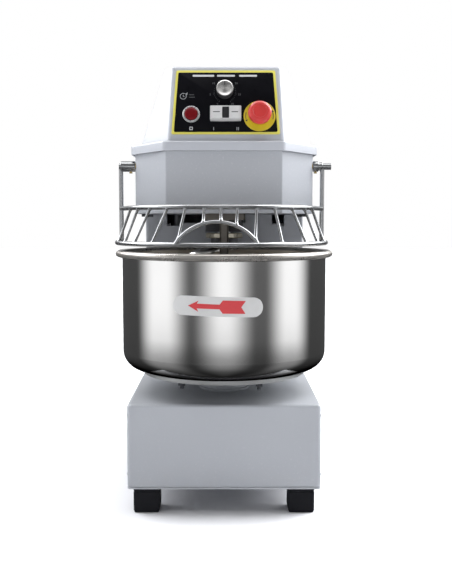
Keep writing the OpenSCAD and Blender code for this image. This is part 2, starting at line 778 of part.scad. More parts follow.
// pivot pins, with the cam that works the limit switch on the right-hand one
module guard_shafts() color("#b4b7bb") translate([0, guard_axis_y, guard_axis_z]) {
    along_x(guard_x - guard_arm_x - 3, -half_w + 20, pin_r);
    along_x(half_w - 30, pin_out, pin_r);
    translate([half_w - 30, 0, 0]) rotate([0, 90, 0]) difference() {
        union() {
            cylinder(h = 8, r = 13);
            translate([0, 9, 0]) cylinder(h = 8, r = 7);
        }
        translate([0, 0, -1]) cylinder(h = 12, r = pin_r - 1);
    }
}

module guard_bushings() color("#b08d4a") for (m = [-1, 1])
    translate([m > 0 ? half_w - 14 : -half_w, guard_axis_y, guard_axis_z]) rotate([0, 90, 0])
        ring(14, 9, pin_r + fit);

module guard_set_screws() color("#b58b3c") for (x = [-half_w - 9, half_w + 5.5])
    translate([x, guard_axis_y, guard_axis_z - collar_r - 3]) {
        cylinder(h = 6.2, r = 1.8);
        cylinder(h = 2.2, r = 3);
    }

module guard_switch() color("#26272a") translate([half_w - 42, guard_axis_y + 24, guard_axis_z - 16]) {
    cube([24, 22, 40]);
    translate([6, -7, 13]) cube([10, 7 + eps, 6]);
}

base_shell();
base_plate();
column_shell();
rear_cover();
cover_screws();
feet();
foot_bolts();
head_shell();
head_floor();
head_bolts();
hood();
control_panel();
stop_button_bezel();
switch_housing();
estop_disc();
estop_body();
timer_body();
breaker_bar();
spindle_housing();
ball_bearings();
bowl_bearing_housing();
motor();
motor_bracket();
motor_belt();
spindle_belt();
bowl_belt();
lay_shaft_bearings();
guard_bushings();
guard_switch();
control_box();
cable_gland();
bowl();
turntable();
bowl_shaft();
bowl_pulley();
bowl_bolts();
arrow_plate();
spindle_shaft();
spindle_collar();
spiral_hook();
spindle_pulley();
spindle_small_pulley();
lay_shaft();
lay_top_pulley();
lay_low_pulley();
motor_rotor();
motor_pulley();
guard_ring();
guard_rail();
guard_arms();
guard_arch();
guard_ribs();
guard_shafts();
guard_set_screws();
timer_knob();
stop_button();
low_speed_button();
high_speed_button();
estop_plunger();
estop_mushroom();
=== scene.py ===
from math import acos, asin, atan2, cos, pi, radians, sin, sqrt, tan

import bmesh
import bpy
from mathutils import Matrix, Vector


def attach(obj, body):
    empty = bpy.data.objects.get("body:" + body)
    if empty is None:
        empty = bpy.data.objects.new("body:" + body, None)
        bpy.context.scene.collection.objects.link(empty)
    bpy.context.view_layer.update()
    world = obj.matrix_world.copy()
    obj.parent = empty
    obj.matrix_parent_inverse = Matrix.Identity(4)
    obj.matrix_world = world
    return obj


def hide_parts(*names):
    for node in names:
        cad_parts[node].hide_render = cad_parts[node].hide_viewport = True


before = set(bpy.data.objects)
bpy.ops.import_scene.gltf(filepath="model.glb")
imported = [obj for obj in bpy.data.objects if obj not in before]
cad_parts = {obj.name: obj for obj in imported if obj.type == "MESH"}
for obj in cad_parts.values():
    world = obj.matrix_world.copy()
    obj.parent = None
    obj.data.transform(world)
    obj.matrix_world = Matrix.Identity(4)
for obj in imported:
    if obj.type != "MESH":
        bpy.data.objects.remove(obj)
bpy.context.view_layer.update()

MM = 0.001

# ---------------------------------------------------------------- sizes, in millimetres, in the frame
# base and feet
BODY_HW, BASE_FRONT, BODY_REAR = 160, -293, 322
CHASSIS_TOP, BASE_TOP, SHEET = 43, 182, 2
FOOT_H, FOOT_W, FOOT_X, FOOT_Y = 40, 43, 128.5, (BASE_FRONT + 22.5, BODY_REAR - 27.5)
# head and hood
HEAD_Z, HEAD_TOP, HEAD_FRONT, HEAD_FRONT_HW, CHAMFER_END = 495, 600.5, -212, 99, -124
FLANGE_TOP, FLANGE_OUT, HOOD_TOP, HOOD_FRONT, HOOD_X = 617, 7, 748.45, -205, 3.5
LEAN = radians(15)
# panel, with its devices at (x, height up the slope)
PANEL_X, PANEL_T = 3, 0.8
KNOB, STOP, SWITCH, ESTOP, CLOCK = (1.5, 88.5), (-56, 48), (2.9, 48), (60.7, 45), (-70, 81)
KEY_X, TWIST_R = 15.6, 23.6
# bowl, turntable and arrow plate
BOWL_Y, BOWL_R, BOWL_Z, RIM_Z, WALL, CORNER, BEAD_R = -147, 181, 222, 425, 1.5, 32, 6
TABLE_R, TABLE_Z = 145, 213.3
PLATE_X, PLATE_Z, PLATE_W, PLATE_H, PLATE_TILT = -10.2, 347.2, 147.5, 31.5, radians(1.5)
# hook
HOOK_Y, SPIRAL_R, SPIRAL_TURNS, SPIRAL_TOP, SPIRAL_LOW, HOOK_ROD_R, SPIRAL_N = -57, 62, 1.6, 434, 246, 12, 230
# guard: rings about GUARD_AT, arms to the pivots, feeding arch
GUARD_AT = (-4.5, BOWL_Y, 444.5)
LOW_R, TOP_R, TOP_ARC, GUARD_RISE, ROD_R, ARM_X, ARM_Y = 185, 165, 73.4, 60, 4, 182.3, 30
PIVOT_Y, PIVOT_Z, PIN_R = -117, 580.5, 6.05
ARCH_X, ARCH_HALF, ARCH_RISE = -6.8, 66.5, 36.5
# louvres, and the studio floor in metres
LOUVRE_W, LOUVRE_LOW = 104, 260
FLOOR_Z = -0.0005


# ---------------------------------------------------------------- mesh making
def make(name, verts, faces, mat, body, slot, nodes=(), sharp=35, place=None, wear=None):
    """A piece from millimetre points, riding on a body and standing for CAD nodes."""
    me = bpy.data.meshes.new(name)
    me.from_pydata([Vector(v) * MM for v in verts], [], faces)
    me.validate()
    bm = bmesh.new()
    bm.from_mesh(me)
    bmesh.ops.recalc_face_normals(bm, faces=bm.faces)
    bm.to_mesh(me)
    bm.free()
    me.polygons.foreach_set("use_smooth", [True] * len(me.polygons))
    me.set_sharp_from_angle(angle=radians(sharp))
    if wear:
        attribute = me.attributes.new("wear", "FLOAT", "POINT")
        attribute.data.foreach_set("value", wear)
    ob = bpy.data.objects.new(name, me)
    bpy.context.scene.collection.objects.link(ob)
    me.materials.append(mat)
    if place:
        ob.matrix_world = place
    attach(ob, body)
    if nodes:
        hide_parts(*nodes)
    return ob


def add_bevel(ob, width):
    """Softens the sharp edges by width."""
    mod = ob.modifiers.new("bevel", "BEVEL")
    mod.width = width * MM
    mod.segments = 2
    mod.limit_method = "ANGLE"
    mod.angle_limit = radians(32)
    mod.use_clamp_overlap = True
    mod.harden_normals = True


def choose_faces(ob, extra, pick):
    """Adds materials to a piece; pick gives the number of each face's material."""
    for mat in extra:
        ob.data.materials.append(mat)
    for face in ob.data.polygons:
        face.material_index = pick(face)


def dress(nodes, mat, bevel=0.0):
    """A procedural finish, and a softened edge, on CAD nodes that stay."""
    for n in nodes.split():
        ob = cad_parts[n]
        ob.data.materials.clear()
        ob.data.materials.append(mat)
        weld = ob.modifiers.new("weld", "WELD")
        weld.merge_threshold = 0.002 * MM
        if bevel:
            add_bevel(ob, bevel)


def join(*parts):
    """Several (points, faces) parts as one."""
    verts, faces = [], []
    for v, f in parts:
        faces += [tuple(i + len(verts) for i in face) for face in f]
        verts += [tuple(p) for p in v]
    return verts, faces


def skin(rings, loop=False):
    """Quads between rings that have the same number of points; without loop, the ends are closed."""
    n, m = len(rings[0]), len(rings)
    faces = [(i * n + k, i * n + (k + 1) % n, (i + 1) % m * n + (k + 1) % n, (i + 1) % m * n + k)
             for i in range(m if loop else m - 1) for k in range(n)]
    if not loop:
        faces += [tuple(range(n))[::-1], tuple((m - 1) * n + k for k in range(n))]
    return [p for r in rings for p in r], faces


def lathe(profile, at=(0, 0, 0), n=96, loop=False, axis="z"):
    """Profile of (radius, height) points turned round an axis through at."""
    def spot(r, h, a):
        x, y = r * cos(a), r * sin(a)
        p = (h, x, y) if axis == "x" else (x, y, h)
        return [p[i] + at[i] for i in range(3)]
    rings = [[spot(max(r, 0.02), h, 2 * pi * k / n) for k in range(n)] for r, h in profile]
    return skin(rings, loop=loop)


def fillet(points, n=4):
    """Points (x, y, radius): the same line with arcs at the corners that have a radius. Ends stay."""
    out = []
    for i, (x, y, r) in enumerate(points):
        if r == 0 or i in (0, len(points) - 1):
            out.append((x, y))
        else:
            out += arc_corner(points[i - 1][:2], (x, y), points[i + 1][:2], r, n)
    return out


def arc_corner(a, p, b, r, n):
    """Arc of radius r in n steps, in place of the corner p between a and b."""
    a, p, b = Vector(a), Vector(p), Vector(b)
    u, v = (a - p).normalized(), (b - p).normalized()
    half = acos(max(-1, min(1, u.dot(v)))) / 2
    if half > 1.5:
        return [tuple(p)] * (n + 1)
    c = p + (u + v).normalized() * r / sin(half)
    p1, p2 = p + u * r / tan(half) - c, p + v * r / tan(half) - c
    t0, turn = atan2(p1.y, p1.x), p1.to_2d().angle_signed(p2.to_2d())
    return [(c.x + r * cos(t0 - turn * k / n), c.y + r * sin(t0 - turn * k / n)) for k in range(n + 1)]


def rounded(poly, radii, n=6):
    """Closed polygon with every corner turned into an arc of n steps."""
    m = len(poly)
    radii = radii if hasattr(radii, "__len__") else [radii] * m
    corners = [(poly[i - 1], poly[i], poly[(i + 1) % m], max(radii[i], 0.05)) for i in range(m)]
    return [q for a, p, b, r in corners for q in arc_corner(a, p, b, r, n)]


def inset(poly, d):
    """Polygon (anticlockwise) moved inwards by d."""
    out, m = [], len(poly)
    for i in range(m):
        a, p, b = Vector(poly[i - 1]), Vector(poly[i]), Vector(poly[(i + 1) % m])
        e1, e2 = (p - a).normalized(), (b - p).normalized()
        n1, n2 = Vector((-e1.y, e1.x)), Vector((-e2.y, e2.x))
        out.append(tuple(p + (n1 + n2) * d / (1 + n1.dot(n2))))
    return out


def box(w, h, x=0, y=0):
    """Outline of a box w wide and h high, centred on (x, y)."""
    return [(x - w / 2, y - h / 2), (x + w / 2, y - h / 2), (x + w / 2, y + h / 2), (x - w / 2, y + h / 2)]


def stack(poly, radius, levels, n=6, loop=False):
    """Rings of one rounded polygon at (z, inset) levels; with loop, the last ring joins the first."""
    rings = [[(x, y, z) for x, y in rounded(inset(poly, d), max(radius - d, 0.3), n)] for z, d in levels]
    return skin(rings, loop=loop)


def edge(z, r, n=5):
    """Levels (z, inset) of a rounded edge of radius r that ends at height z."""
    turns = [pi / 2 * k / n for k in range(n + 1)]
    return [(z - r * (1 - sin(t)), r * (1 - cos(t))) for t in turns]


def tube(path, radius, n=20, round_ends=False):
    """Round bar along points; radius is a number or one per point."""
    path = [Vector(p) for p in path]
    m = len(path)
    radii = radius if hasattr(radius, "__len__") else [radius] * m
    tangent = []
    for i in range(m):
        tangent.append((path[min(i + 1, m - 1)] - path[max(i - 1, 0)]).normalized())
    side = tangent[0].orthogonal().normalized()
    rings = []
    for i in range(m):
        if i:
            side = tangent[i - 1].rotation_difference(tangent[i]) @ side
        other = tangent[i].cross(side)
        spots = [(path[i], radii[i])]
        if round_ends and i in (0, m - 1):
            out = -1 if i == 0 else 1
            dome = [(path[i] + tangent[i] * out * radii[i] * sin(t), radii[i] * cos(t))
                    for t in (radians(x) for x in (0, 30, 55, 75, 87))]
            spots = dome[::-1] if i == 0 else dome
        for centre, r in spots:
            turns = [2 * pi * k / n for k in range(n)]
            rings.append([centre + (side * cos(t) + other * sin(t)) * r for t in turns])
    return skin(rings)


def slab(outline, z0, z1):
    """Outline raised from z0 to z1."""
    return skin([[(x, y, z0) for x, y in outline], [(x, y, z1) for x, y in outline]])


def moved(part, offset):
    """A part's points, shifted."""
    return [tuple(Vector(v) + Vector(offset)) for v in part[0]], part[1]


# ---------------------------------------------------------------- materials
class Nodes:
    """Short way to wire a node tree."""

    def __init__(self, tree):
        self.tree = tree
        tree.nodes.clear()

    def add(self, kind, **values):
        node = self.tree.nodes.new(kind)
        for key, value in values.items():
            if key.startswith("in_"):
                socket = key[3:]
                self.feed(node.inputs[int(socket) if socket.isdigit() else socket.replace("_", " ")], value)
            else:
                setattr(node, key, value)
        return node

    def feed(self, socket, value):
        if isinstance(value, bpy.types.NodeSocket):
            self.tree.links.new(value, socket)
        else:
            socket.default_value = value

    def math(self, op, a, b=0.0):
        return self.add("ShaderNodeMath", operation=op, in_0=a, in_1=b).outputs[0]

    def ramp(self, value, lo, hi, to_lo=0.0, to_hi=1.0):
        node = self.add("ShaderNodeMapRange", interpolation_type="SMOOTHSTEP", in_0=value, in_1=lo, in_2=hi,
                        in_3=to_lo, in_4=to_hi)
        return node.outputs[0]

    def noise(self, vector, scale, detail=3.0, rough=0.55):
        return self.add("ShaderNodeTexNoise", in_Vector=vector, in_Scale=scale, in_Detail=detail,
                        in_Roughness=rough).outputs[0]

    def mix(self, factor, a, b):
        node = self.add("ShaderNodeMix", data_type="RGBA")
        for socket, value in zip([node.inputs[0], node.inputs[6], node.inputs[7]], [factor, a, b]):
            self.feed(socket, value)
        return node.outputs[2]


def tint(color, k):
    """Colour made lighter or darker by the factor k."""
    return tuple(min(1, c * k) for c in color[:3]) + (1,)


DUST_COLOR = (0.42, 0.40, 0.37, 1)
# colour of the painted shade in the bowl's lower corner
SHADE_COLOR = (0.085, 0.082, 0.08, 1)
WEAR_COLOR = (0.5, 0.5, 0.52, 1)


def material(name, color, rough, metallic=0.0, vary=0.06, patch=25, grain=900, bump=0.05, stretch=(1, 1, 1),
             round_at=None, coat=0.0, wear=0.0, dust=0.0, spec=0.5, rough_vary=0.12, aniso=0.0, tangent=None,
             shaded=None):
    """Principled finish with patchy colour, roughness and a fine grain.
    stretch sets the grain's direction; round_at=(x, y) wraps it round an upright axis;
    shaded=(low, high, darkest) is painted shade: from one height down to another it darkens
    the metal's colour and its edge reflection."""
    mat = bpy.data.materials.new(name)
    mat.use_nodes = True
    t = Nodes(mat.node_tree)
    color = tuple(color) + (1,)
    where = t.add("ShaderNodeTexCoord").outputs["Object"]
    xyz = t.add("ShaderNodeSeparateXYZ", in_0=where).outputs
    height = xyz[2]
    if round_at:
        dx = t.math("SUBTRACT", xyz[0], round_at[0] * MM)
        dy = t.math("SUBTRACT", xyz[1], round_at[1] * MM)
        radius = t.math("POWER", t.math("ADD", t.math("MULTIPLY", dx, dx), t.math("MULTIPLY", dy, dy)), 0.5)
        turn = t.math("MULTIPLY", t.math("ARCTAN2", dy, dx), 0.15)
        where = t.add("ShaderNodeCombineXYZ", in_0=turn, in_1=radius, in_2=height).outputs[0]
    along = t.add("ShaderNodeMapping", in_Vector=where, in_Scale=stretch).outputs[0]
    patches = t.noise(where, patch, 4)
    fine = t.noise(along, grain, 2, 0.6)
    shade = t.math("ADD", t.math("MULTIPLY", patches, 0.65), t.math("MULTIPLY", fine, 0.35))
    base = t.mix(t.ramp(shade, 0.3, 0.7), tint(color, 1 - vary), tint(color, 1 + vary))
    roughness = t.ramp(shade, 0.3, 0.7, rough * (1 - rough_vary), min(1, rough * (1 + rough_vary)))
    if wear:
        mark = t.add("ShaderNodeAttribute", attribute_name="wear").outputs["Fac"]
        chips = t.ramp(t.noise(where, 260, 5, 0.7), 0.56, 0.66)
        worn = t.math("MULTIPLY", t.math("MULTIPLY", mark, chips), wear)
        base = t.mix(worn, base, WEAR_COLOR)
        roughness = t.math("ADD", roughness, t.math("MULTIPLY", worn, 0.15))
    if dust:
        low = t.math("MULTIPLY", t.ramp(height, 0.10, 0.0), t.ramp(t.noise(where, 60, 5, 0.7), 0.4, 0.7))
        base = t.mix(t.math("MULTIPLY", low, dust), base, DUST_COLOR)
    # painted shade: the colour turns towards SHADE_COLOR below the upper height, most at the lower one
    if shaded:
        painted_shade_mix = t.ramp(height, shaded[0] * MM, shaded[1] * MM, shaded[2], 0.0)
        base = t.mix(painted_shade_mix, base, SHADE_COLOR)
    bumped = t.add("ShaderNodeBump", in_Strength=bump, in_Distance=0.0004, in_Height=fine).outputs[0]
    shader = t.add("ShaderNodeBsdfPrincipled", in_Base_Color=base, in_Roughness=roughness,
                   in_Metallic=metallic, in_Normal=bumped, in_Coat_Weight=coat, in_Coat_Roughness=0.08,
                   in_Specular_IOR_Level=spec, in_Anisotropic=aniso)
    # painted shade also dims the metal's edge reflection over the same heights
    if shaded:
        t.feed(shader.inputs["Specular Tint"], t.mix(painted_shade_mix, (1, 1, 1, 1), (0, 0, 0, 1)))
    if tangent:
        around = t.add("ShaderNodeTangent", direction_type="RADIAL", axis=tangent)
        t.feed(shader.inputs["Tangent"], around.outputs[0])
    t.feed(t.add("ShaderNodeOutputMaterial").inputs[0], shader.outputs[0])
    return mat


paint = material("paint", (0.395, 0.411, 0.438), 0.38, vary=0.012, patch=9, grain=1500, bump=0.015,
                 wear=0.6, dust=0.25, coat=0.15)
# darker copy of the body paint for the column: painted shade under the head and behind the bowl; the dust low
# down is real
column_paint_painted_shade = material("column_paint_painted_shade", (0.27, 0.281, 0.302), 0.42, vary=0.03, patch=9, grain=1500, bump=0.06,
                      dust=0.2)
shell = material("shell", (0.45, 0.467, 0.50), 0.34, vary=0.012, patch=7, grain=1800, bump=0.015, wear=0.3,
                 coat=0.2)
dark = material("dark_paint", (0.035, 0.037, 0.042), 0.45, vary=0.15, grain=1100, bump=0.12)
# near-black grey for the head's floor: painted shade under the head
under = material("head_floor_painted_shade", (0.12, 0.125, 0.14), 0.5, vary=0.1, grain=900, bump=0.1)
# the bowl's steel carries painted shade in its lower corner, from 248 mm down, darkest below 231 mm
bowl_steel = material("bowl_steel", (0.74, 0.73, 0.715), 0.11, 1, vary=0.02, patch=14, grain=260,
                      stretch=(1, 1, 9), bump=0.025, round_at=(0, BOWL_Y), rough_vary=0.1,
                      shaded=(231, 248, 0.92))
rim_steel = material("rim_steel", (0.48, 0.455, 0.42), 0.29, 0.8, vary=0.06, patch=30, grain=500,
                     bump=0.008, round_at=(0, BOWL_Y))
chrome = material("guard_chrome", (0.40, 0.405, 0.41), 0.2, 0.9, vary=0.04, patch=120, grain=900, bump=0.03,
                  rough_vary=0.3)
table_steel = material("table_steel", (0.50, 0.505, 0.50), 0.5, 0.75, vary=0.06, patch=40, grain=300,
                       stretch=(1, 1, 12), bump=0.06, round_at=(0, BOWL_Y))
# the bowl's inside: a darker, browner copy of the bowl steel as painted shade inside the bowl, with a rougher
# finish of its own
inner_steel = material("inner_steel", (0.46, 0.425, 0.37), 0.3, 1, vary=0.05, patch=20, grain=260,
                       stretch=(1, 1, 9), bump=0.05, round_at=(0, BOWL_Y))
hook_steel = material("hook_steel", (0.64, 0.63, 0.60), 0.22, 1, vary=0.08, patch=40, grain=420, bump=0.06,
                      round_at=(0, HOOK_Y))
collar_steel = material("collar_steel", (0.60, 0.56, 0.46), 0.3, 1, vary=0.1, patch=60, grain=500,
                        bump=0.08)
bar_steel = material("bar_steel", (0.13, 0.12, 0.107), 0.34, 1, vary=0.14, patch=50, grain=420,
                     stretch=(6, 6, 1), bump=0.08)
steel = material("plain_steel", (0.55, 0.56, 0.58), 0.32, 1, vary=0.08, patch=60, grain=600,
                 stretch=(1, 1, 4), bump=0.05)
zinc = material("zinc", (0.66, 0.67, 0.68), 0.33, 1, vary=0.1, patch=300, grain=1500, bump=0.08)
iron = material("turned_iron", (0.24, 0.25, 0.265), 0.45, 0.9, vary=0.12, patch=60, grain=700, bump=0.12)
belt = material("belt_rubber", (0.02, 0.02, 0.021), 0.7, vary=0.2, grain=1500, bump=0.3, spec=0.3)
rubber = material("foot_rubber", (0.010, 0.0104, 0.014), 0.6, vary=0.1, patch=60, grain=1300, bump=0.15,
                  spec=0.22)
brass = material("brass", (0.62, 0.45, 0.19), 0.28, 1, vary=0.1, patch=300, grain=1500, bump=0.06)
black = material("black_plastic", (0.018, 0.018, 0.02), 0.42, vary=0.15, grain=1800, bump=0.12, spec=0.4)
light = material("light_plastic", (0.62, 0.62, 0.61), 0.5, vary=0.04, grain=1500, bump=0.1)
motor_paint = material("motor_enamel", (0.10, 0.14, 0.20), 0.4, vary=0.08, grain=1100, bump=0.15)
film_black = material("film_black", (0.005, 0.005, 0.0065), 0.3, vary=0.1, patch=60, grain=2600, bump=0.04,
                      spec=0.06)
film_yellow = material("film_yellow", (0.66, 0.60, 0.10), 0.4, vary=0.04, patch=60, grain=2600, bump=0.05)
ink_white = material("ink_white", (0.62, 0.63, 0.64), 0.5, vary=0.05, grain=2600, bump=0.05)
ink_grey = material("ink_grey", (0.30, 0.31, 0.32), 0.5, vary=0.05, grain=2600, bump=0.05)
ink_faint = material("ink_faint", (0.10, 0.105, 0.11), 0.5, vary=0.05, grain=2600, bump=0.05)
ink_dark = material("ink_dark", (0.03, 0.03, 0.03), 0.5, vary=0.1, grain=2600, bump=0.05)
bezel = material("bezel", (0.66, 0.66, 0.66), 0.28, 0.75, vary=0.05, patch=200, grain=1500, bump=0.04)
silver = material("switch_silver", (0.74, 0.74, 0.73), 0.34, 0.3, vary=0.04, patch=120, grain=1900,
                  bump=0.07)
red_lens = material("red_lens", (0.14, 0.003, 0.006), 0.2, vary=0.15, patch=500, grain=1300, bump=0.2,
                    coat=0.15, spec=0.3)
red_cap = material("red_cap", (0.54, 0.038, 0.035), 0.32, vary=0.06, patch=70, grain=1700, bump=0.06,
                   coat=0.18)
yellow = material("yellow_plate", (0.60, 0.455, 0.022), 0.36, vary=0.05, patch=90, grain=1900, bump=0.05)
knob_alu = material("knob_alu", (0.78, 0.77, 0.75), 0.3, 1, vary=0.05, patch=300, grain=2400, bump=0.06,
                    aniso=0.75, tangent="Z")
knob_side = material("knob_side", (0.11, 0.11, 0.115), 0.4, 0.8, vary=0.1, patch=200, grain=2000, bump=0.08)
plate_film = material("plate_film", (0.60, 0.60, 0.59), 0.38, 0.2, vary=0.03, patch=70, grain=1500,
                      bump=0.05)
arrow_red = material("arrow_red", (0.55, 0.035, 0.04), 0.4, vary=0.05, patch=90, grain=1900, bump=0.05)

floor_finish = material("floor_finish", (0.78, 0.78, 0.80), 0.8, vary=0.01, patch=2, grain=200, bump=0.02)

# ---------------------------------------------------------------- CAD nodes that stay
dress("motor_bracket", steel)
dress("base_plate", paint)
# the column takes the darker paint, as painted shade
dress("column_shell", column_paint_painted_shade)
dress("rear_cover", paint)
dress("bowl_bearing_housing", paint, 0.8)
dress("cover_screws foot_bolts", zinc)
# the head's floor takes the near-black grey as painted shade
dress("head_floor", under)
dress("head_bolts spindle_housing bowl_bolts", dark, 0.4)
dress("ball_bearings bowl_shaft spindle_shaft motor_rotor", steel)
dress("breaker_bar", bar_steel, 0.6)
dress("motor", motor_paint)
dress("motor_belt spindle_belt bowl_belt", belt)
dress("bowl_pulley spindle_pulley spindle_small_pulley lay_top_pulley lay_low_pulley motor_pulley "
      "lay_shaft lay_shaft_bearings", iron)
dress("guard_bushings guard_set_screws", brass)
dress("guard_shafts", chrome)
dress("guard_switch estop_body timer_body cable_gland estop_plunger", black, 0.3)
dress("control_box", light, 1.0)
dress("switch_housing low_speed_button high_speed_button", silver, 0.5)


# ---------------------------------------------------------------- base, feet, head
def shell_wear(part, low, high, reach=6):
    """Marks the points near the top and bottom edges, for the paint's wear."""
    return [max(0.0, 1 - min(abs(v[2] - low), abs(v[2] - high)) / reach) for v in part[0]]


base_outline = box(2 * BODY_HW, BODY_REAR - BASE_FRONT, 0, (BODY_REAR + BASE_FRONT) / 2)
base_levels = [(BASE_TOP - SHEET, SHEET), (CHASSIS_TOP, SHEET), (CHASSIS_TOP + 0.5, 0.9),
               (CHASSIS_TOP + 2, 0)]
base = stack(base_outline, 7, base_levels + edge(BASE_TOP, 5), n=8)
make("base_cover", *base, paint, "frame", "grey_paint", ["base_shell"],
     wear=shell_wear(base, CHASSIS_TOP, BASE_TOP))

# each foot has a soft lower edge and a shallow groove under the base
sole = [(0, 2.2), (0.6, 1.2), (3, 0.5), (3.6, 0)]
groove = [(34, 0), (34.6, 0.9), (36.4, 0.9), (37, 0)]
foot = stack(box(FOOT_W, FOOT_W), 3, sole + groove + [(FOOT_H, 0)], n=4)
feet = [moved(foot, (x, y, 0)) for x in (-FOOT_X, FOOT_X) for y in FOOT_Y]
make("feet_rubber", *join(*feet), rubber, "frame", "foot_rubber", ["feet"])


def head_plan(out):
    """The head's outline with its chamfered front corners, moved outwards by out."""
    turn = atan2(CHAMFER_END - HEAD_FRONT, BODY_HW - HEAD_FRONT_HW)
    fx = HEAD_FRONT_HW + out * tan(turn / 2)
    cy = CHAMFER_END - out * tan((pi / 2 - turn) / 2)
    w = BODY_HW + out
    front, rear = HEAD_FRONT - out, BODY_REAR + out
    return [(-fx, front), (fx, front), (w, cy), (w, rear), (-w, rear), (-w, cy)]


head = stack(head_plan(0), 4, [(HEAD_TOP, SHEET), (HEAD_Z, SHEET), (HEAD_Z, 0.9), (HEAD_Z + 0.3, 0.3),
                               (HEAD_Z + 1, 0), (HEAD_TOP, 0)], loop=True)
make("head_ring", *head, paint, "frame", "grey_paint", ["head_shell"],
     wear=shell_wear(head, HEAD_Z, HEAD_TOP))

# ---------------------------------------------------------------- hood: skirt and sloping body
lip = 24
wall = 3
skirt_levels = [(FLANGE_TOP - wall, lip), (FLANGE_TOP - wall, wall), (HEAD_TOP, wall), (HEAD_TOP, 0.6),
                (HEAD_TOP + 0.6, 0)] + edge(FLANGE_TOP, 3) + [(FLANGE_TOP, lip)]
skirt = stack(head_plan(FLANGE_OUT), 9, skirt_levels, n=8, loop=True)
rise = (HOOD_TOP - FLANGE_TOP) * tan(LEAN)
low_outline = [(-98, HOOD_FRONT), (98, HOOD_FRONT), (152, -128), (152, 312), (-152, 312), (-152, -128)]
top_outline = [(-92, HOOD_FRONT + rise), (92, HOOD_FRONT + rise), (106, HOOD_FRONT + rise + 20), (106, 219),
               (-106, 219), (-106, HOOD_FRONT + rise + 20)]


def hood_ring(t, d, z):
    """Ring of the hood's body, t from the skirt (0) to the top (1)."""
    poly = [(a[0] + (b[0] - a[0]) * t, a[1] + (b[1] - a[1]) * t) for a, b in zip(low_outline, top_outline)]
    front, side, rear = 10 - 3 * t, 26 - 14 * t, 12
    radii = [max(r - d, 0.5) for r in (front, front, side, rear, rear, side)]
    return [(x + HOOD_X, y, z) for x, y in rounded(inset(poly, d), radii, 8)]


span = HOOD_TOP - FLANGE_TOP
levels = [(FLANGE_TOP - 4, 0)] + [(FLANGE_TOP + span * k / 8, 0) for k in range(8)] + edge(HOOD_TOP, 4, n=6)
body = skin([hood_ring((z - FLANGE_TOP) / span, d, z) for z, d in levels])
make("hood_skirt", *skirt, shell, "frame", "hood_shell", ["hood"],
     wear=shell_wear(skirt, HEAD_TOP, FLANGE_TOP, 3))
make("hood_body", *body, shell, "frame", "hood_shell", ["hood"], wear=shell_wear(body, 0, HOOD_TOP, 7))

# ---------------------------------------------------------------- control panel
PANEL = Matrix.Translation(Vector((0, HOOD_FRONT, FLANGE_TOP)) * MM) @ Matrix.Rotation(pi / 2 - LEAN, 4, "X")


def on_panel(at):
    """Placement on the sloping panel, at (x, height up the slope)."""
    return PANEL @ Matrix.Translation(Vector((at[0], at[1], 0)) * MM)


label = [(-92.7, 12.5), (92.7, 12.5), (85.4, 128.5), (-85.4, 128.5)]
make("label_border", *skin([[(x + PANEL_X, y, z) for x, y in rounded(inset(label, d), 3, 6)]
                            for z, d in ((-0.3, 0), (0.55, 0), (0.65, 0.15))]),
     film_yellow, "frame", "yellow_plate", place=on_panel((0, 0)))
make("label_film", *skin([[(x + PANEL_X, y, z) for x, y in rounded(inset(label, d), 2.5, 6)]
                          for z, d in ((0.2, 4), (PANEL_T - 0.1, 4), (PANEL_T, 4.15))]),
     film_black, "frame", "panel_film", ["control_panel"], place=on_panel((0, 0)))


def turned(name, profile, mat, body, slot, at, nodes, n=64):
    """Turned piece on the panel, from (radius, height above the panel) points with corner radii."""
    make(name, *lathe(fillet(profile), n=n), mat, body, slot, nodes, place=on_panel(at), sharp=30)


turned("stop_bezel", [(11.9, -8, 0), (11.9, 4.4, 0.3), (12.6, 5.0, 0.3), (13.6, 5.0, 0.8), (14.9, 3.4, 0.8),
                      (14.9, 0.9, 0), (11, 0.9, 0), (11, -34, 0), (2, -34, 0)], bezel, "frame", "bezel", STOP,
       ["stop_button_bezel"])
turned("stop_lens", [(0, 7.6, 0), (4, 7.5, 0), (8, 7.1, 0), (10.2, 6.6, 0.8), (11.5, 5.6, 0.8),
                     (11.5, 4.9, 0.2), (9, 4.9, 0), (9, -14, 0), (0, -14, 0)], red_lens, "stop_cap",
       "red_lens", STOP, ["stop_button"])

# mushroom with a sunk face, and the yellow plate under it
turned("mushroom", [(0, 24.9, 0), (11.4, 24.9, 0), (12.2, 25.8, 0.5), (14.8, 25.6, 1.4), (18.4, 23.4, 2.5),
                    (20, 19.6, 2.0), (20, 13.9, 1.0), (19, 12.8, 0.4), (16.4, 12.8, 0.2), (16.4, 16.3, 0.5),
                    (5.1, 16.3, 0), (5.1, 22, 0), (0, 22, 0)], red_cap, "estop_head", "red_cap", ESTOP,
       ["estop_mushroom"], n=80)
turned("estop_plate", [(11.2, 0.7, 0), (27.2, 0.7, 0), (27.2, 2.0, 0.4), (26.7, 2.3, 0.2), (11.2, 2.3, 0)],
       yellow, "frame", "yellow_plate", ESTOP, ["estop_disc"], n=80)

# knob: knurled side, turned face with a shallow cone and a pointer line
KNOB_N = 120


def knob_ring(r, z, knurl):
    """Ring whose every second point is knurl deeper."""
    turns = [(2 * pi * k / KNOB_N, r - knurl * (k % 2)) for k in range(KNOB_N)]
    return [(radius * cos(a), radius * sin(a), z) for a, radius in turns]


